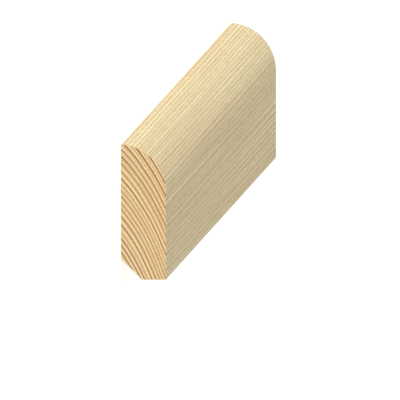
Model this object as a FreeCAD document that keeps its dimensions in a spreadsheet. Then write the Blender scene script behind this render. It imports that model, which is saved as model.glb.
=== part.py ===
"""Skirting board length: one planed softwood moulding, lying on the face that goes against the wall.

X runs along the board, Y across its height and Z up through its thickness. The rounded top edge
faces -Y, the edge that stands on the floor faces +Y and the show face looks up. The origin is on
the back face, under the middle of the board.
"""
import FreeCAD, Part

import os

import Sketcher
from FreeCAD import Vector

# Driving dimensions in millimetres: the name of each, its value and what it is on the board
DIMENSIONS = [
    ("board_length", 2400.0, "length as sold, sawn square at both ends"),
    ("board_height", 45.0, "floor edge to the top of the back face"),
    ("board_thickness", 15.0, "back face to show face"),
    ("round_depth", 16.0, "how far down the show face the top rounding reaches"),
    ("relief_width", 7.0, "leg of the 45 degree relief along the back of the floor edge"),
    ("arris_radius", 0.2, "long corners, only just eased"),
]
SIZES = {name: value for name, value, _ in DIMENSIONS}

# The moulding's outline, in drawing order: each of these ends where the next one starts
FLOOR_EDGE, RELIEF, BACK, ROUND, SHOW_FACE = range(5)
START, END = 1, 2
X_AXIS, ORIGIN_POINT = -1, (-1, 1)


def make_dimensions(doc):
    """Write the driving dimensions into a spreadsheet, one row each."""
    sheet = doc.addObject("Spreadsheet::Sheet", "Dimensions")
    for row, (name, value, meaning) in enumerate(DIMENSIONS, start=1):
        sheet.set(f"A{row}", name.replace("_", " "))
        sheet.set(f"B{row}", str(value))
        sheet.setAlias(f"B{row}", name)
        sheet.set(f"C{row}", meaning)
    doc.recompute()


def origin_plane(body, role):
    """Return the body's own origin plane that has this role."""
    return next(plane for plane in body.Origin.OriginFeatures if plane.Role == role)


def outline():
    """Return the five edges of the moulding's section, seen along the board with the back face down."""
    half_height = SIZES["board_height"] / 2
    thickness = SIZES["board_thickness"]
    depth = SIZES["round_depth"]
    relief = SIZES["relief_width"]
    radius = (thickness**2 + depth**2) / (2 * thickness)

    floor_front = Vector(half_height, thickness, 0)
    floor_back = Vector(half_height, relief, 0)
    back_low = Vector(half_height - relief, 0, 0)
    back_top = Vector(-half_height, 0, 0)
    round_foot = Vector(depth - half_height, thickness, 0)
    centre = round_foot - Vector(0, radius, 0)
    middle_way = (round_foot - centre + back_top - centre).normalize()
    round_middle = centre + middle_way * radius

    return [
        Part.LineSegment(floor_front, floor_back),
        Part.LineSegment(floor_back, back_low),
        Part.LineSegment(back_low, back_top),
        Part.Arc(round_foot, round_middle, back_top),
        Part.LineSegment(round_foot, floor_front),
    ]


def bind(sketch, name, constraint, expression):
    """Add a named dimension to the sketch and tie it to the spreadsheet."""
    index = sketch.addConstraint(constraint)
    sketch.renameConstraint(index, name)
    sketch.setExpression(f"Constraints.{name}", expression)


def draw_section(body):
    """Sketch the moulding's section on the body's YZ plane, fully constrained."""
    sketch = body.newObject("Sketcher::SketchObject", "Section")
    sketch.AttachmentSupport = (origin_plane(body, "YZ_Plane"), "")
    sketch.MapMode = "FlatFace"
    sketch.addGeometry(outline(), False)

    sketch.addConstraint([
        Sketcher.Constraint("Coincident", FLOOR_EDGE, END, RELIEF, START),
        Sketcher.Constraint("Coincident", RELIEF, END, BACK, START),
        Sketcher.Constraint("Coincident", BACK, END, ROUND, END),
        Sketcher.Constraint("Tangent", ROUND, START, SHOW_FACE, START),
        Sketcher.Constraint("Coincident", SHOW_FACE, END, FLOOR_EDGE, START),
        Sketcher.Constraint("Vertical", FLOOR_EDGE),
        Sketcher.Constraint("Horizontal", SHOW_FACE),
        Sketcher.Constraint("Horizontal", BACK),
        Sketcher.Constraint("PointOnObject", BACK, END, X_AXIS),
    ])
    return sketch


def dimension_section(sketch):
    """Give the section its sizes, all from the spreadsheet."""
    bind(sketch, "TopFromMiddle",
         Sketcher.Constraint("DistanceX", BACK, END, *ORIGIN_POINT, SIZES["board_height"] / 2),
         "Dimensions.board_height / 2")
    bind(sketch, "FloorFromMiddle",
         Sketcher.Constraint("DistanceX", *ORIGIN_POINT, FLOOR_EDGE, START, SIZES["board_height"] / 2),
         "Dimensions.board_height / 2")
    bind(sketch, "Thickness",
         Sketcher.Constraint("DistanceY", *ORIGIN_POINT, FLOOR_EDGE, START, SIZES["board_thickness"]),
         "Dimensions.board_thickness")
    bind(sketch, "RoundDepth",
         Sketcher.Constraint("DistanceX", BACK, END, ROUND, START, SIZES["round_depth"]),
         "Dimensions.round_depth")
    bind(sketch, "ReliefAlongBack",
         Sketcher.Constraint("DistanceX", RELIEF, END, RELIEF, START, SIZES["relief_width"]),
         "Dimensions.relief_width")
    bind(sketch, "ReliefAlongFloorEdge",
         Sketcher.Constraint("DistanceY", RELIEF, END, RELIEF, START, SIZES["relief_width"]),
         "Dimensions.relief_width")


def run_moulding(body, sketch):
    """Pad the section along the board, half of its length each way."""
    moulding = body.newObject("PartDesign::Pad", "Moulding")
    moulding.Profile = sketch
    moulding.SideType = "Symmetric"
    moulding.setExpression("Length", "Dimensions.board_length")
    return moulding


def long_corners(shape):
    """Name the edges that run along the board at a corner of the section.

    The edge where the rounding flows into the show face is no corner, so it is left out.
    """
    round_foot = Vector(0, SIZES["round_depth"] - SIZES["board_height"] / 2, SIZES["board_thickness"])
    lengthwise = {
        f"Edge{number}": edge
        for number, edge in enumerate(shape.Edges, start=1)
        if round(abs(edge.tangentAt(edge.FirstParameter).x)) == 1
    }
    flush = min(lengthwise, key=lambda name: lengthwise[name].CenterOfMass.distanceToPoint(round_foot))
    return [name for name in lengthwise if name != flush]


def ease_corners(body, moulding):
    """Ease the long corners to a small radius."""
    eased = body.newObject("PartDesign::Fillet", "EasedCorners")
    eased.Base = (moulding, long_corners(moulding.Shape))
    eased.setExpression("Radius", "Dimensions.arris_radius")
    return eased


def make_skirting_board(doc):
    """Build the whole moulding as one body."""
    body = doc.addObject("PartDesign::Body", "SkirtingBoard")
    body.Label = "skirting_board"
    body.Placement = FreeCAD.Placement(Vector(0, 0, 0), FreeCAD.Rotation())
    sketch = draw_section(body)
    dimension_section(sketch)
    moulding = run_moulding(body, sketch)
    doc.recompute()
    ease_corners(body, moulding)
    doc.recompute()
    return body


def check_document(doc):
    """Stop if any object of the document failed."""
    for item in doc.Objects:
        if "Invalid" in item.State or "Error" in item.State:
            raise RuntimeError(f"{item.Label} failed: {item.State}")


def export(body):
    """Write one body's shape to the parts folder, under its label."""
    shape = body.Shape
    if shape.isNull() or not shape.isValid():
        raise RuntimeError(f"{body.Label} has no valid shape")
    os.makedirs("parts", exist_ok=True)
    shape.exportStep(f"parts/{body.Label}.step")
    box = shape.BoundBox
    print(f"{body.Label}: {len(shape.Solids)} solid, {box.XLength:.2f} x {box.YLength:.2f} x "
          f"{box.ZLength:.2f} mm, {shape.Volume / 1000:.1f} cm3")


doc = FreeCAD.newDocument("SkirtingBoard")
make_dimensions(doc)
skirting_board = make_skirting_board(doc)
check_document(doc)
export(skirting_board)
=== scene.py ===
"""A length of planed softwood skirting board on a white studio floor, seen from its sawn end."""

import logging
from dataclasses import dataclass, field
from enum import Enum
from math import asin, atan2, ceil, cos, e, pi, radians, sin, sqrt, tan

import bmesh
import bpy
from mathutils import Matrix, Vector


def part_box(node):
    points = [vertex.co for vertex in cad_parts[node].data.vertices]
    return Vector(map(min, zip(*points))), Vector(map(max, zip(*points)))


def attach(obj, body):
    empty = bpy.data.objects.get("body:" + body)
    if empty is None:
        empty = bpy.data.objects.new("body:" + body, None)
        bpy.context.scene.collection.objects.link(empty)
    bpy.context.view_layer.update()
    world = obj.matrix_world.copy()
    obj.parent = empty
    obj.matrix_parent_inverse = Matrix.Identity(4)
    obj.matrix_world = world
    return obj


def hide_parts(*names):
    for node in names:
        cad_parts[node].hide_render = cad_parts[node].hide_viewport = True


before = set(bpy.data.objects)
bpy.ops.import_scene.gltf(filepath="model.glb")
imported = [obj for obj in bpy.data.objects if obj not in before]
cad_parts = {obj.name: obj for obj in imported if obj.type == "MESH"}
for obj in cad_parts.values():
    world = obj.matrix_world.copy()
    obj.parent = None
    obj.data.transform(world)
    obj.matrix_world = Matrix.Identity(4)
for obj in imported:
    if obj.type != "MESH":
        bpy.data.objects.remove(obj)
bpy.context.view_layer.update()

log = logging.getLogger("skirting")

MM = 0.001
NODE = "skirting_board"
BODY = "root"
PICTURE_PX = 400.0

# A noise seldom leaves this span
NOISE_LOW = 0.2
NOISE_HIGH = 0.8

# A Mix node has a set of sockets for each kind of value, and these are the ones for colours
MIX_FACTOR = 0
MIX_FIRST = 6
MIX_SECOND = 7
MIX_RESULT = 2

# Directions in the board's section, as angles from +Y towards +Z
FLOORWARDS = 0.0
FRONTWARDS = 0.5 * pi
BACKWARDS = 1.5 * pi
OUT_OF_RELIEF = 1.75 * pi

Colour = tuple[float, float, float, float]
Stretch = tuple[float, float, float]
Span = tuple[float, float]
Socket = bpy.types.NodeSocket


def grey(value: float) -> Colour:
    """Return an opaque grey of this brightness."""
    return (value, value, value, 1.0)


def deselect_all() -> None:
    """Leave edit mode and clear the selection."""
    if bpy.context.object and bpy.context.object.mode != "OBJECT":
        bpy.ops.object.mode_set(mode="OBJECT")
    bpy.ops.object.select_all(action="DESELECT")


class Surface(Enum):
    """The surfaces of the board that take a finish of their own, by material slot."""

    PLANED = 0
    SAWN_END = 1


class NodeBench:
    """Adds and links nodes in one tree, a material's or a geometry modifier's.

    Attributes:
        tree: The node tree that is being built.
    """

    def __init__(self, tree: bpy.types.NodeTree) -> None:
        """Take a tree and clear it."""
        self.tree = tree
        tree.nodes.clear()

    def add(self, kind: str, inputs: dict[int | str, object] | None = None,
            **settings: object) -> bpy.types.Node:
        """Add one node.

        Args:
            kind: The node's type name.
            inputs: Values or output sockets, by input name or number.
            **settings: Properties of the node itself.

        Returns:
            The new node.
        """
        node = self.tree.nodes.new(kind)
        for name, value in settings.items():
            setattr(node, name, value)
        for key, value in (inputs or {}).items():
            if isinstance(value, Socket):
                self.tree.links.new(value, node.inputs[key])
            else:
                node.inputs[key].default_value = value
        return node

    def math(self, operation: str, *values: object) -> Socket:
        """Add a math node and return its result."""
        return self.add("ShaderNodeMath", dict(enumerate(values)), operation=operation).outputs[0]

    def total(self, *values: object) -> Socket:
        """Add up several values.

        Args:
            *values: Numbers or output sockets, at least two.

        Returns:
            The sum.
        """
        result = values[0]
        for value in values[1:]:
            result = self.math("ADD", result, value)
        return result

    def stretch(self, vector: object, factors: object) -> Socket:
        """Multiply a vector by one factor for each axis and return the result."""
        node = self.add("ShaderNodeVectorMath", {0: vector, 1: factors}, operation="MULTIPLY")
        return node.outputs[0]

    def noise(self, vector: object, seed: float, detail: float = 0.0) -> Socket:
        """Return a noise whose grains are one unit of the vector wide. The seed picks its pattern."""
        inputs = {"Vector": vector, "W": seed, "Scale": 1.0, "Detail": detail}
        return self.add("ShaderNodeTexNoise", inputs, noise_dimensions="4D").outputs[0]

    def noise_along(self, value: object, scale: float, seed: float, detail: float = 0.0) -> Socket:
        """Return a noise along one value, with as many grains to its unit as the scale says."""
        inputs = {"W": self.math("MULTIPLY_ADD", value, scale, seed), "Scale": 1.0, "Detail": detail}
        return self.add("ShaderNodeTexNoise", inputs, noise_dimensions="1D").outputs[0]

    def remap(self, value: object, low: float, high: float, to_low: float = 0.0, to_high: float = 1.0,
              smooth: bool = False) -> Socket:
        """Map a range of values to another one, clamped.

        Args:
            value: The value to map.
            low: Value that becomes to_low.
            high: Value that becomes to_high.
            to_low: Result at and below low.
            to_high: Result at and above high.
            smooth: Whether the ends ease in and out.

        Returns:
            The mapped value.
        """
        inputs = {0: value, 1: low, 2: high, 3: to_low, 4: to_high}
        style = "SMOOTHSTEP" if smooth else "LINEAR"
        return self.add("ShaderNodeMapRange", inputs, interpolation_type=style).outputs[0]

    def sway(self, noise: object, reach: float) -> Socket:
        """Turn a noise's value into one that strays evenly about zero, as far as the reach."""
        return self.remap(noise, NOISE_LOW, NOISE_HIGH, -reach, reach)

    def blend(self, factor: object, first: object, second: object) -> Socket:
        """Return a mixture of two colours, all of it the second where the factor is 1."""
        inputs = {MIX_FACTOR: factor, MIX_FIRST: first, MIX_SECOND: second}
        return self.add("ShaderNodeMix", inputs, data_type="RGBA").outputs[MIX_RESULT]

    def scale(self, vector: object, factor: object) -> Socket:
        """Multiply a vector by one number and return the result."""
        node = self.add("ShaderNodeVectorMath", {0: vector, "Scale": factor}, operation="SCALE")
        return node.outputs[0]

    def stain(self, colour: object, light: object, depth: Stretch) -> Socket:
        """Lighten or darken a colour, some of its channels more than others.

        Args:
            colour: The colour.
            light: How far it is lightened, or darkened where this is below zero.
            depth: How strongly red, green and blue take part.

        Returns:
            The changed colour.
        """
        inputs = {0: self.scale(depth, light), 1: (1.0, 1.0, 1.0)}
        factors = self.add("ShaderNodeVectorMath", inputs, operation="ADD").outputs[0]
        return self.stretch(colour, factors)


@dataclass(frozen=True)
class Pattern:
    """A noise of its own grain along each axis, which lightens and darkens the wood.

    Attributes:
        grains: Grains in one metre along each axis.
        seed: Which pattern this is.
        reach: How far it moves what it acts on, up and down.
        detail: How many finer layers it has.
    """

    grains: Stretch
    seed: float
    reach: float = 1.0
    detail: float = 0.0

    def value(self, bench: NodeBench, place: Socket) -> Socket:
        """Return the noise's value at a place."""
        return bench.noise(bench.stretch(place, self.grains), self.seed, self.detail)

    def shift(self, bench: NodeBench, place: Socket) -> Socket:
        """Return how far up or down a place is moved."""
        return bench.sway(self.value(bench, place), self.reach)


@dataclass(frozen=True)
class GrowthRings:
    """The tree's yearly rings: long tubes round a pith that runs along the board outside it.

    Attributes:
        pith_y: Where the pith lies across the board's height, in metres.
        pith_z: Where the pith lies through the board's thickness, in metres.
        flattening: How much narrower the rings are across the height than through the thickness.
        ring_width: Mean width of one year's growth, measured through the thickness.
        first_year: Ring count at the pith, which places the rings on the end.
        good_years: How far good and bad years move a ring, in rings.
        change_rate: How often good years turn to bad ones, in grains per metre of growth.
        growth_seed: Which run of good and bad years this is.
        weather_seed: Which run of strong and weak dark lines this is.
        wander: How far a ring strays along the board, in metres.
        line_rise: Part of the year where the dark line begins and where it is full.
        line_fall: Part of the year where it fades and where it has ended.
        faintest_line: Strength of the weakest dark line, where the strongest is 1.
        ripe_rise: Part of the year where the growth begins to ripen and where it is ripe.
        ripe_fall: Part of the year where the ripe growth gives way to the next year's.
    """

    pith_y: float = 95.9 * MM
    pith_z: float = -16.5 * MM
    flattening: float = 0.3854
    ring_width: float = 0.84 * MM
    first_year: float = -44.08
    good_years: float = 2.749
    change_rate: float = 120.0
    growth_seed: float = 645.0
    weather_seed: float = 25587.0
    wander: Pattern = Pattern((0.8, 90.0, 90.0), 11.0, 0.07 * MM, detail=1.0)
    line_rise: Span = (0.66, 0.885)
    line_fall: Span = (0.975, 1.0)
    faintest_line: float = 0.2
    ripe_rise: Span = (0.05, 0.95)
    ripe_fall: Span = (0.93, 1.0)

    def _arm(self, bench: NodeBench, place: Socket) -> Socket:
        """Work out the way from the pith to a place, with the rings made round.

        Args:
            bench: Where the nodes are added.
            place: The place in the wood.

        Returns:
            The way there, squarely to the board's length.
        """
        pith = (0.0, self.pith_y, self.pith_z)
        arm = bench.add("ShaderNodeVectorMath", {0: place, 1: pith}, operation="SUBTRACT").outputs[0]
        return bench.stretch(arm, (0.0, self.flattening, 1.0))

    def distance(self, bench: NodeBench, place: Socket) -> Socket:
        """Work out how far outwards from the pith a place lies.

        Args:
            bench: Where the nodes are added.
            place: The place in the wood.

        Returns:
            The distance in metres of growth.
        """
        arm = self._arm(bench, place)
        length = bench.add("ShaderNodeVectorMath", {0: arm}, operation="LENGTH").outputs["Value"]
        return bench.math("ADD", length, self.wander.shift(bench, place))

    def year(self, bench: NodeBench, distance: Socket) -> Socket:
        """Work out the ring count at a distance.

        Args:
            bench: Where the nodes are added.
            distance: The distance from the pith.

        Returns:
            The ring count, a whole number where one year's wood ends.
        """
        even = bench.math("MULTIPLY_ADD", distance, 1.0 / self.ring_width, self.first_year)
        growth = bench.noise_along(distance, self.change_rate, self.growth_seed, detail=1.0)
        return bench.math("MULTIPLY_ADD", growth, self.good_years, even)

    def strength(self, bench: NodeBench, year: Socket) -> Socket:
        """Return how strong the dark line of a year is, one value from 0 to 1 for each ring."""
        ring = bench.math("ADD", bench.math("FLOOR", year), self.weather_seed)
        return bench.add("ShaderNodeTexWhiteNoise", {"W": ring}, noise_dimensions="1D").outputs["Value"]

    def latewood(self, bench: NodeBench, year: Socket) -> Socket:
        """Work out how much a place is dense late growth, which comes slowly and ends at once.

        Args:
            bench: Where the nodes are added.
            year: The ring count there.

        Returns:
            A share from 0 to 1.
        """
        part = bench.math("FRACT", year)
        rise = bench.remap(part, *self.line_rise, smooth=True)
        fall = bench.remap(part, *self.line_fall, 1.0, 0.0)
        strength = bench.remap(self.strength(bench, year), 0.0, 1.0, self.faintest_line, 1.0)
        return bench.math("MULTIPLY", bench.math("MULTIPLY", rise, fall), strength)

    def ripening(self, bench: NodeBench, year: Socket) -> Socket:
        """Work out how far through a year's growth a place is, eased at both ends.

        Args:
            bench: Where the nodes are added.
            year: The ring count there.

        Returns:
            A share from 0 to 1.
        """
        part = bench.math("FRACT", year)
        rise = bench.remap(part, *self.ripe_rise, smooth=True)
        fall = bench.remap(part, *self.ripe_fall, 1.0, 0.0)
        return bench.math("MULTIPLY", rise, fall)

    def ray_place(self, bench: NodeBench, place: Socket) -> Socket:
        """Work out on which ray a place lies. A ray crosses the rings squarely.

        Args:
            bench: Where the nodes are added.
            place: The place in the wood.

        Returns:
            A value that is the same all along a ray.
        """
        arm = bench.add("ShaderNodeSeparateXYZ", {0: self._arm(bench, place)})
        beside = bench.math("ABSOLUTE", arm.outputs["Y"])
        over = bench.math("LOGARITHM", arm.outputs["Z"], e)
        along = bench.math("LOGARITHM", beside, e)
        return bench.math("SUBTRACT", bench.math("MULTIPLY", over, self.flattening**2), along)


@dataclass(frozen=True)
class PlanedFinish:
    """Planed side grain: straight pale streaks along the board over faint yearly rings.

    Attributes:
        rings: The tree's rings.
        early: Colour of the light growth.
        late: Colour of the dense growth.
        warm: Colour of the redder patches.
        ring_contrast: How much of the late colour a dark ring shows.
        warmth: How much of the warm colour a patch shows at most.
        patches: Where the redder patches lie.
        patch_span: Noise values between which a patch fades in.
        streaks: Long light and dark streaks.
        strands: Finer strands between them.
        flecks: Flecks about as long as the board is thick.
        fibres: Short fibres.
        canals: Where the resin canals lie.
        canal_span: Noise values between which a canal begins.
        canal_depth: How dark a canal is.
        stain: How strongly red, green and blue follow the streaks, so that dark ones are browner.
        knife_lines: Lines that the moulding knives leave, in one metre along each axis.
        first_line: Line count at the origin, which places the lines.
        knife_edge: How narrow the light side of a line is.
        knife_level: Mean of a line, which is taken off so that the lines don't lighten the wood.
        knife_range: Brightness range of those lines where they are faintest and clearest.
        knife_stray: How far a line strays to the side, in lines.
        knife_fade: Where those lines fade.
        rounding: Where the top rounding ends and begins across the board, in metres.
        rounding_bite: How much clearer the lines are at the rounding's end than on the show face.
        roughness: Roughness of the light growth.
        late_roughness: Roughness of the dense growth.
        specular: Specular level.
        fibre_depth: Height of the fibres in metres, for the bump.
    """

    rings: GrowthRings
    early: Colour = (0.757, 0.626, 0.361, 1.0)
    late: Colour = (0.50, 0.36, 0.18, 1.0)
    warm: Colour = (0.742, 0.566, 0.328, 1.0)
    ring_contrast: float = 0.25
    warmth: float = 0.85
    patches: Pattern = Pattern((0.6, 120.0, 120.0), 2981.0, detail=1.0)
    patch_span: Span = (0.42, 0.68)
    streaks: Pattern = Pattern((0.35, 1700.0, 2000.0), 22.0, 0.09)
    strands: Pattern = Pattern((1.5, 2700.0, 2700.0), 23.0, 0.08)
    flecks: Pattern = Pattern((60.0, 1500.0, 1500.0), 28.0, 0.13)
    fibres: Pattern = Pattern((95.0, 5200.0, 5200.0), 25.0, 0.05, detail=1.0)
    canals: Pattern = Pattern((110.0, 3600.0, 3600.0), 24.0)
    canal_span: Span = (0.73, 0.8)
    canal_depth: float = 0.25
    stain: Stretch = (0.85, 1.0, 1.75)
    knife_lines: Stretch = (0.0, 572.0, 670.0)
    first_line: float = 0.832
    knife_edge: float = 4.0
    knife_level: float = 0.273
    knife_range: Span = (0.09, 0.34)
    knife_stray: Pattern = Pattern((0.25, 250.0, 250.0), 26.0, 0.4)
    knife_fade: Pattern = Pattern((0.8, 300.0, 300.0), 27.0)
    rounding: Span = (-22.5 * MM, -6.5 * MM)
    rounding_bite: float = 1.38
    roughness: float = 0.72
    late_roughness: float = 0.6
    specular: float = 0.1
    fibre_depth: float = 0.01 * MM

    def _tone(self, bench: NodeBench, place: Socket, late: Socket) -> Socket:
        """Work out the wood's colour without its streaks: faint rings over redder patches.

        Args:
            bench: Where the nodes are added.
            place: The place on the surface.
            late: How much it is dense growth.

        Returns:
            The colour there.
        """
        patch = bench.remap(self.patches.value(bench, place), *self.patch_span, 0.0, self.warmth)
        ground = bench.blend(patch, self.early, self.warm)
        return bench.blend(bench.math("MULTIPLY", late, self.ring_contrast), ground, self.late)

    def _knife_marks(self, bench: NodeBench, place: Socket) -> Socket:
        """Work out the light and dark lines that the moulding knives leave along the board.

        Args:
            bench: Where the nodes are added.
            place: The place on the surface.

        Returns:
            How far they lighten the wood, or darken it where this is below zero.
        """
        across = bench.add("ShaderNodeVectorMath", {0: place, 1: self.knife_lines}, operation="DOT_PRODUCT")
        count = bench.total(across.outputs["Value"], self.knife_stray.shift(bench, place), self.first_line)
        wave = bench.math("SINE", bench.math("MULTIPLY", count, 2.0 * pi))
        crest = bench.math("POWER", bench.remap(wave, -1.0, 1.0), self.knife_edge)
        even = bench.math("SUBTRACT", crest, self.knife_level)
        clear = bench.remap(self.knife_fade.value(bench, place), NOISE_LOW, NOISE_HIGH, *self.knife_range)
        height = bench.add("ShaderNodeSeparateXYZ", {0: place}).outputs["Y"]
        bite = bench.remap(height, *self.rounding, self.rounding_bite, 1.0)
        return bench.math("MULTIPLY", bench.math("MULTIPLY", even, clear), bite)

    def _light(self, bench: NodeBench, place: Socket, fibres: Socket) -> Socket:
        """Work out how far the streaks, strands, flecks, fibres, canals and knife lines go together.

        Args:
            bench: Where the nodes are added.
            place: The place on the surface.
            fibres: The fibres' noise.

        Returns:
            How far the wood is lightened, or darkened where this is below zero.
        """
        return bench.total(
            self.streaks.shift(bench, place),
            self.strands.shift(bench, place),
            self.flecks.shift(bench, place),
            bench.sway(fibres, self.fibres.reach),
            bench.remap(self.canals.value(bench, place), *self.canal_span, 0.0, -self.canal_depth),
            self._knife_marks(bench, place),
        )

    def material(self) -> bpy.types.Material:
        """Build the material.

        Returns:
            The new material.
        """
        material = bpy.data.materials.new("planed_side_grain")
        material.use_nodes = True
        bench = NodeBench(material.node_tree)
        place = bench.add("ShaderNodeTexCoord").outputs["Object"]
        year = self.rings.year(bench, self.rings.distance(bench, place))
        late = self.rings.latewood(bench, year)
        fibres = self.fibres.value(bench, place)
        light = self._light(bench, place, fibres)
        colour = bench.stain(self._tone(bench, place, late), light, self.stain)
        bump = bench.add("ShaderNodeBump", {"Height": fibres, "Distance": self.fibre_depth}).outputs[0]
        shader = bench.add("ShaderNodeBsdfPrincipled", {
            "Base Color": colour,
            "Roughness": bench.remap(late, 0.0, 1.0, self.roughness, self.late_roughness),
            "Specular IOR Level": self.specular,
            "Normal": bump,
        }).outputs[0]
        bench.add("ShaderNodeOutputMaterial", {0: shader})
        return material


@dataclass(frozen=True)
class SawnEndFinish:
    """End grain: warm light growth between thin dark lines of late growth.

    Attributes:
        rings: The tree's rings.
        early: Colour of the first growth of a year.
        pink: Colour of the first growth in the redder patches.
        mid: Colour that a year's growth ripens to.
        late: Colour of the dark line that ends a year.
        ripeness: How much of the ripened colour shows.
        patches: Where the redder patches lie.
        patch_span: Noise values between which a patch fades in.
        laminae: Fine lines along the rings, in one metre of growth.
        lamina_seed: Which run of fine lines this is.
        lamina: Brightness range of the fine lines.
        rays: Rays across the rings, in one unit of the ray's place.
        ray_seed: Which run of rays this is.
        ray: Brightness range of the rays.
        cells: The open cells.
        stain: How strongly red, green and blue follow the fine lines, rays and cells.
        through: Where the back and the show face lie through the board's thickness, in metres.
        ambering: How much paler red, green and blue are at the back, and deeper at the show face.
        roughness: Roughness of the cut.
        specular: Specular level.
        cell_depth: Depth of the open cells in metres, for the bump.
        line_height: How far the dark lines stand proud in metres, for the bump.
    """

    rings: GrowthRings
    early: Colour = (0.94, 0.745, 0.47, 1.0)
    pink: Colour = (0.955, 0.70, 0.445, 1.0)
    mid: Colour = (0.68, 0.41, 0.115, 1.0)
    late: Colour = (0.26, 0.065, 0.001, 1.0)
    ripeness: float = 0.85
    patches: Pattern = Pattern((120.0, 150.0, 300.0), 34.0, detail=2.0)
    patch_span: Span = (0.42, 0.75)
    laminae: float = 2600.0
    lamina_seed: float = 31.0
    lamina: float = 0.15
    rays: float = 180.0
    ray_seed: float = 32.0
    ray: float = 0.08
    cells: Pattern = Pattern((900.0, 2600.0, 2600.0), 33.0, 0.29, detail=1.0)
    stain: Stretch = (0.92, 1.1, 1.65)
    through: Span = (0.0, 15.0 * MM)
    ambering: Stretch = (-0.005, 0.02, 0.06)
    roughness: float = 0.78
    specular: float = 0.06
    cell_depth: float = 0.03 * MM
    line_height: float = 0.02 * MM

    def _tone(self, bench: NodeBench, place: Socket, year: Socket, late: Socket) -> Socket:
        """Work out the wood's colour without its fine lines.

        Args:
            bench: Where the nodes are added.
            place: The place on the end.
            year: Its ring count.
            late: How much it is dense growth.

        Returns:
            The colour there.
        """
        pinkness = bench.remap(self.patches.value(bench, place), *self.patch_span)
        fresh = bench.blend(pinkness, self.early, self.pink)
        ripe = bench.math("MULTIPLY", self.rings.ripening(bench, year), self.ripeness)
        grown = bench.blend(late, bench.blend(ripe, fresh, self.mid), self.late)
        depth = bench.add("ShaderNodeSeparateXYZ", {0: place}).outputs["Z"]
        return bench.stain(grown, bench.remap(depth, *self.through, 1.0, -1.0), self.ambering)

    def _light(self, bench: NodeBench, place: Socket, distance: Socket, cells: Socket) -> Socket:
        """Work out how far the fine lines, rays and open cells lighten the wood together.

        Args:
            bench: Where the nodes are added.
            place: The place on the end.
            distance: Its distance from the pith.
            cells: The open cells' noise.

        Returns:
            How far the wood is lightened, or darkened where this is below zero.
        """
        laminae = bench.noise_along(distance, self.laminae, self.lamina_seed)
        rays = bench.noise_along(self.rings.ray_place(bench, place), self.rays, self.ray_seed)
        return bench.total(
            bench.sway(laminae, self.lamina),
            bench.sway(rays, self.ray),
            bench.sway(cells, self.cells.reach),
        )

    def material(self) -> bpy.types.Material:
        """Build the material.

        Returns:
            The new material.
        """
        material = bpy.data.materials.new("sawn_end_grain")
        material.use_nodes = True
        bench = NodeBench(material.node_tree)
        place = bench.add("ShaderNodeTexCoord").outputs["Object"]
        distance = self.rings.distance(bench, place)
        year = self.rings.year(bench, distance)
        late = self.rings.latewood(bench, year)
        cells = self.cells.value(bench, place)
        light = self._light(bench, place, distance, cells)
        colour = bench.stain(self._tone(bench, place, year, late), light, self.stain)
        pits = bench.math("MULTIPLY", cells, self.cell_depth)
        height = bench.math("MULTIPLY_ADD", late, self.line_height, pits)
        bump = bench.add("ShaderNodeBump", {"Height": height, "Distance": 1.0}).outputs[0]
        shader = bench.add("ShaderNodeBsdfPrincipled", {
            "Base Color": colour,
            "Roughness": self.roughness,
            "Specular IOR Level": self.specular,
            "Normal": bump,
        }).outputs[0]
        bench.add("ShaderNodeOutputMaterial", {0: shader})
        return material


@dataclass(frozen=True)
class RaisedGrain:
    """The light growth, which a planer's rollers leave a hair lower than the dark rings.

    Attributes:
        rings: The tree's rings.
        depth: How much lower the light growth lies, in metres.
        crest: Part of the year where the wood stands highest.
    """

    rings: GrowthRings
    depth: float = 0.008 * MM
    crest: float = 0.8

    def press(self, piece: bpy.types.Object) -> None:
        """Lower the light growth on the long faces of a piece and keep the result in its mesh.

        Args:
            piece: The board's object, which is the active one.
        """
        tree = bpy.data.node_groups.new("raised_grain", "GeometryNodeTree")
        for way in ("INPUT", "OUTPUT"):
            tree.interface.new_socket("Geometry", in_out=way, socket_type="NodeSocketGeometry")
        bench = NodeBench(tree)
        mesh = bench.add("NodeGroupInput").outputs[0]
        place = bench.add("GeometryNodeInputPosition").outputs[0]
        normal = bench.stretch(bench.add("GeometryNodeInputNormal").outputs[0], (0.0, 1.0, 1.0))
        year = self.rings.year(bench, self.rings.distance(bench, place))
        part = bench.math("FRACT", year)
        rise = bench.remap(part, 0.0, self.crest, smooth=True)
        fall = bench.remap(part, self.crest, 1.0, 1.0, 0.0, smooth=True)
        low = bench.remap(bench.math("MULTIPLY", rise, fall), 0.0, 1.0, -self.depth, 0.0)
        moved = bench.add("GeometryNodeSetPosition", {"Geometry": mesh, "Offset": bench.scale(normal, low)})
        bench.add("NodeGroupOutput", {0: moved.outputs[0]})
        modifier = piece.modifiers.new("raised_grain", "NODES")
        modifier.node_group = tree
        bpy.ops.object.modifier_apply(modifier=modifier.name)


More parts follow.
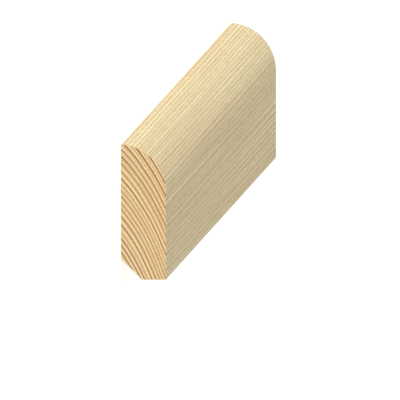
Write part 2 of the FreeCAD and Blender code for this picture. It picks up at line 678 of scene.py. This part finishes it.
@dataclass
class SkirtingBoard:
    """The one-piece moulding, modelled from its sawn end along its length.

    Attributes:
        low: Lowest corner of the board, from its part in model.glb.
        high: Highest corner of the board, from its part in model.glb.
        height: Floor edge to the top of the back face, before the corner is eased.
        round_depth: How far down the show face the top rounding reaches.
        relief_width: Leg of the 45 degree relief along the back of the floor edge.
        arris_radius: Radius of the eased long corners.
        cell: Widest mesh cell round the section.
        bays: Mesh cells along the board.
        round_steps: Flats that make up the top rounding.
        arris_steps: Flats that make up an eased corner.
        cut_tolerance: How near a cut a corner of the outline counts as on it.
        merge_reach: How near each other two corners become one.
        smooth_angle: Sharpest corner between two faces that is still shaded smooth.
        rings: The tree's rings.
    """

    low: Vector
    high: Vector
    height: float = 45.0 * MM
    round_depth: float = 16.0 * MM
    relief_width: float = 7.0 * MM
    arris_radius: float = 0.2 * MM
    cell: float = 0.27 * MM
    bays: int = 48
    round_steps: int = 90
    arris_steps: int = 5
    cut_tolerance: float = 0.000001 * MM
    merge_reach: float = 0.01 * MM
    smooth_angle: float = radians(35.0)
    rings: GrowthRings = field(default_factory=GrowthRings)

    @property
    def length(self) -> float:
        """Return the board's length."""
        return self.high.x - self.low.x

    @property
    def thickness(self) -> float:
        """Return the board's thickness."""
        return self.high.z - self.low.z

    def build(self) -> bpy.types.Object:
        """Model the board.

        Returns:
            The board's object.
        """
        piece = self._end_blank()
        self._cut_section()
        self._divide_flats(piece)
        self._run_along(piece)
        RaisedGrain(self.rings).press(piece)
        self._dress(piece)
        return piece

    def _end_blank(self) -> bpy.types.Object:
        """Add a face as large as the section, standing at the +X end.

        Returns:
            The face's object.
        """
        deselect_all()
        middle = Vector((self.high.x, self.high.y - self.height / 2, self.low.z + self.thickness / 2))
        bpy.ops.mesh.primitive_plane_add(size=1.0, calc_uvs=False, location=middle,
                                         rotation=(0.0, pi / 2, 0.0))
        piece = bpy.context.object
        piece.name = "moulding_length"
        piece.scale = (self.thickness, self.height, 1.0)
        bpy.ops.object.transform_apply(location=True, rotation=True, scale=True)
        return piece

    def _arc(self, centre: Vector, radius: float, start: float, end: float, steps: int) -> list[Vector]:
        """Return an arc's points as (y, z), with its angles counted from +Y towards +Z."""
        turns = [start + (end - start) * step / steps for step in range(steps + 1)]
        return [centre + radius * Vector((cos(turn), sin(turn))) for turn in turns]

    def outline(self) -> list[Vector]:
        """Work out the section's outline, anticlockwise seen from +X.

        Returns:
            The outline's points as (y, z), from the front of the floor edge round to its back.
        """
        floor_y = self.high.y
        thick = self.thickness
        ease = self.arris_radius
        flats = self.arris_steps
        slant = ease * tan((OUT_OF_RELIEF - BACKWARDS) / 2)
        radius = (thick**2 + self.round_depth**2) / (2 * thick)
        centre = Vector((floor_y - self.height + self.round_depth, thick - radius))
        top_centre = Vector((centre.x - sqrt((radius - ease) ** 2 - (ease - centre.y) ** 2), ease))
        round_end = atan2(top_centre.y - centre.y, top_centre.x - centre.x)
        floor_front = Vector((floor_y - ease, thick - ease))
        relief_low = Vector((floor_y - self.relief_width - slant, ease))
        relief_high = Vector((floor_y - ease, self.relief_width + slant))

        points = self._arc(floor_front, ease, FLOORWARDS, FRONTWARDS, flats)
        points += self._arc(centre, radius, FRONTWARDS, round_end, self.round_steps)[:-1]
        points += self._arc(top_centre, ease, round_end, BACKWARDS, flats)
        points += self._arc(relief_low, ease, BACKWARDS, OUT_OF_RELIEF, flats)
        points += self._arc(relief_high, ease, OUT_OF_RELIEF, FLOORWARDS + 2.0 * pi, flats)
        return points

    def _cut_section(self) -> None:
        """Trim the face to the moulding's outline, one straight cut after another."""
        bpy.ops.object.mode_set(mode="EDIT")
        points = self.outline()
        for first, second in zip(points, points[1:] + points[:1]):
            along = second - first
            bpy.ops.mesh.select_all(action="SELECT")
            bpy.ops.mesh.bisect(plane_co=(self.high.x, first.x, first.y), plane_no=(0.0, along.y, -along.x),
                                clear_outer=True, threshold=self.cut_tolerance)
        bpy.ops.mesh.select_all(action="SELECT")
        bpy.ops.mesh.remove_doubles(threshold=self.merge_reach)
        bpy.ops.object.mode_set(mode="OBJECT")

    def _divide_flats(self, piece: bpy.types.Object) -> None:
        """Part the long flats of the outline evenly, so that the relief can follow the rings.

        Args:
            piece: The end face.
        """
        bpy.ops.object.mode_set(mode="EDIT")
        mesh = bmesh.from_edit_mesh(piece.data)
        wanted = {ceil(edge.calc_length() / self.cell) - 1 for edge in mesh.edges}
        for cuts in sorted(wanted - {0}):
            bpy.ops.mesh.select_all(action="DESELECT")
            mesh = bmesh.from_edit_mesh(piece.data)
            for edge in mesh.edges:
                edge.select = ceil(edge.calc_length() / self.cell) - 1 == cuts
            bmesh.update_edit_mesh(piece.data)
            bpy.ops.mesh.subdivide(number_cuts=cuts)
        bpy.ops.object.mode_set(mode="OBJECT")

    def _run_along(self, piece: bpy.types.Object) -> None:
        """Extrude the end along the board and part it into bays.

        Args:
            piece: The end face, which becomes the board.
        """
        bpy.ops.object.mode_set(mode="EDIT")
        bpy.ops.mesh.select_all(action="SELECT")
        bpy.ops.mesh.extrude_region_move(TRANSFORM_OT_translate={"value": (-self.length, 0.0, 0.0)})
        bpy.ops.mesh.select_all(action="DESELECT")
        mesh = bmesh.from_edit_mesh(piece.data)
        for edge in mesh.edges:
            edge.select = abs(edge.verts[0].co.x - edge.verts[1].co.x) > self.length / 2
        bmesh.update_edit_mesh(piece.data)
        bpy.ops.mesh.subdivide(number_cuts=self.bays - 1)
        bpy.ops.mesh.select_all(action="SELECT")
        bpy.ops.mesh.normals_make_consistent(inside=False)
        bpy.ops.object.mode_set(mode="OBJECT")
        bpy.ops.object.shade_smooth_by_angle(angle=self.smooth_angle)

    def _dress(self, piece: bpy.types.Object) -> None:
        """Give the long faces and the two ends their own finishes.

        Args:
            piece: The board's object.
        """
        piece.data.materials.append(PlanedFinish(self.rings).material())
        piece.data.materials.append(SawnEndFinish(self.rings).material())
        for face in piece.data.polygons:
            on_end = abs(face.normal.x) > abs(face.normal.y) + abs(face.normal.z)
            face.material_index = (Surface.SAWN_END if on_end else Surface.PLANED).value
        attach(piece, BODY)
        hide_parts(NODE)


@dataclass(frozen=True)
class StudioCamera:
    """A camera far off the board's end, with no perspective, so that the long edges stay parallel.

    Attributes:
        px_per_mm: Scale of the picture.
        turn: How far round towards the show face the camera stands off the board's line.
        edge_slope: Slope of the long edges in the picture, rise over run.
        corner_px: Where the end's show-face corner on the floor edge falls in the picture.
        distance: How far off the camera stands.
        reach: How far the camera sees.
    """

    px_per_mm: float = 3.004
    turn: float = radians(0.875)
    edge_slope: float = 1.107
    corner_px: tuple[float, float] = (166.0, 279.75)
    distance: float = 6.0
    reach: float = 100.0

    def place(self, corner: Vector) -> bpy.types.Object:
        """Add the camera so that the corner falls at its place in the picture.

        Args:
            corner: The end's corner between the show face and the floor edge.

        Returns:
            The camera's object.
        """
        lift = asin(self.edge_slope * tan(self.turn))
        back = Vector((cos(self.turn) * cos(lift), -sin(lift), sin(self.turn) * cos(lift)))
        right = Vector((-sin(self.turn), 0.0, cos(self.turn)))
        up = back.cross(right)
        scale = self.px_per_mm / MM
        across = (self.corner_px[0] - PICTURE_PX / 2) / scale
        down = (self.corner_px[1] - PICTURE_PX / 2) / scale
        aim = corner - right * across + up * down
        data = bpy.data.cameras.new("end_view")
        data.type = "ORTHO"
        data.ortho_scale = PICTURE_PX / scale
        data.clip_end = self.reach
        camera = bpy.data.objects.new("end_view", data)
        turned = Matrix((right, up, back)).transposed().to_4x4()
        camera.matrix_world = Matrix.Translation(aim + back * self.distance) @ turned
        bpy.context.scene.collection.objects.link(camera)
        bpy.context.scene.camera = camera
        return camera


@dataclass(frozen=True)
class Studio:
    """A white floor, a soft low key from the rounded edge's side, a weak back light and a surround.

    Attributes:
        floor_size: Side of the square floor.
        floor_drop: How far below the board's back face the floor lies.
        floor_white: Brightness of the floor's own colour.
        floor_glow: How white the floor shows without its lighting.
        key_heading: Which way round the key stands, from the rounded edge towards the sawn end.
        key_height: How high above the floor the key stands, as an angle.
        key_light: How brightly it lights a surface that faces it, where 1 is plain white.
        back_heading: Which way round the back light stands, from the rounded edge.
        back_height: How high above the floor the back light stands, as an angle.
        back_light: How brightly it lights a surface that faces it.
        lamp_breadth: How wide each lamp looks from the board, as an angle.
        fill_light: Light from all round.
    """

    floor_size: float = 60.0
    floor_drop: float = 0.02 * MM
    floor_white: float = 0.9
    floor_glow: float = 0.57
    key_heading: float = radians(31.0)
    key_height: float = radians(4.0)
    key_light: float = 0.70
    back_heading: float = radians(205.0)
    back_height: float = radians(5.0)
    back_light: float = 0.3
    lamp_breadth: float = radians(10.0)
    fill_light: float = 0.556

    def build(self) -> None:
        """Add the floor, the two lamps and the surround."""
        self._floor()
        self._lamp("key", self.key_heading, self.key_height, self.key_light)
        self._lamp("back", self.back_heading, self.back_height, self.back_light)
        self._surround()
        bpy.context.scene.view_settings.view_transform = "Standard"

    def _seen_directly(self, bench: NodeBench) -> Socket:
        """Tell rays from the camera, from gloss and through glass from the rest.

        Args:
            bench: Where the nodes are added.

        Returns:
            1 for those rays and 0 for the rest.
        """
        path = bench.add("ShaderNodeLightPath")
        sharp = bench.math("MAXIMUM", path.outputs["Is Glossy Ray"], path.outputs["Is Transmission Ray"])
        return bench.math("MAXIMUM", path.outputs["Is Camera Ray"], sharp)

    def _floor(self) -> None:
        """Lay a large white floor that keeps the board's shadow."""
        deselect_all()
        bpy.ops.mesh.primitive_plane_add(size=self.floor_size, location=(0.0, 0.0, -self.floor_drop))
        floor = bpy.context.object
        floor.name = "studio_floor"
        material = bpy.data.materials.new("white_floor")
        material.use_nodes = True
        bench = NodeBench(material.node_tree)
        lit = bench.add("ShaderNodeBsdfDiffuse", {"Color": grey(self.floor_white)}).outputs[0]
        glow = bench.add("ShaderNodeEmission", {
            "Color": grey(1.0),
            "Strength": bench.math("MULTIPLY", self._seen_directly(bench), self.floor_glow),
        }).outputs[0]
        both = bench.add("ShaderNodeAddShader", {0: lit, 1: glow}).outputs[0]
        bench.add("ShaderNodeOutputMaterial", {0: both})
        floor.data.materials.append(material)

    def _lamp(self, name: str, heading: float, height: float, light: float) -> None:
        """Add a lamp as a broad sun, so that it lights the whole length alike.

        Args:
            name: What the lamp is called.
            heading: Which way round it stands, from the rounded edge towards the sawn end.
            height: How high above the floor it stands, as an angle.
            light: How brightly it lights a surface that faces it.
        """
        towards = Vector((sin(heading) * cos(height), -cos(heading) * cos(height), sin(height)))
        data = bpy.data.lights.new(name, "SUN")
        data.energy = light * pi
        data.angle = self.lamp_breadth
        lamp = bpy.data.objects.new(name, data)
        lamp.rotation_euler = towards.to_track_quat("Z", "Y").to_euler()
        lamp.location = towards
        bpy.context.scene.collection.objects.link(lamp)

    def _surround(self) -> None:
        """Make the world white to look at and a soft fill for the board."""
        world = bpy.data.worlds.new("white_surround")
        bpy.context.scene.world = world
        world.use_nodes = True
        bench = NodeBench(world.node_tree)
        strength = bench.remap(self._seen_directly(bench), 0.0, 1.0, self.fill_light, 1.0)
        light = bench.add("ShaderNodeBackground", {"Color": grey(1.0), "Strength": strength}).outputs[0]
        bench.add("ShaderNodeOutputWorld", {0: light})


def main() -> None:
    """Build the camera, the board and the studio."""
    low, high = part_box(NODE)
    StudioCamera().place(Vector(high))
    board = SkirtingBoard(Vector(low), Vector(high))
    piece = board.build()
    log.info("%s: %d faces", piece.name, len(piece.data.polygons))
    Studio().build()


if __name__ == "__main__":
    logging.basicConfig(level=logging.INFO, format="%(name)s: %(message)s")
    main()
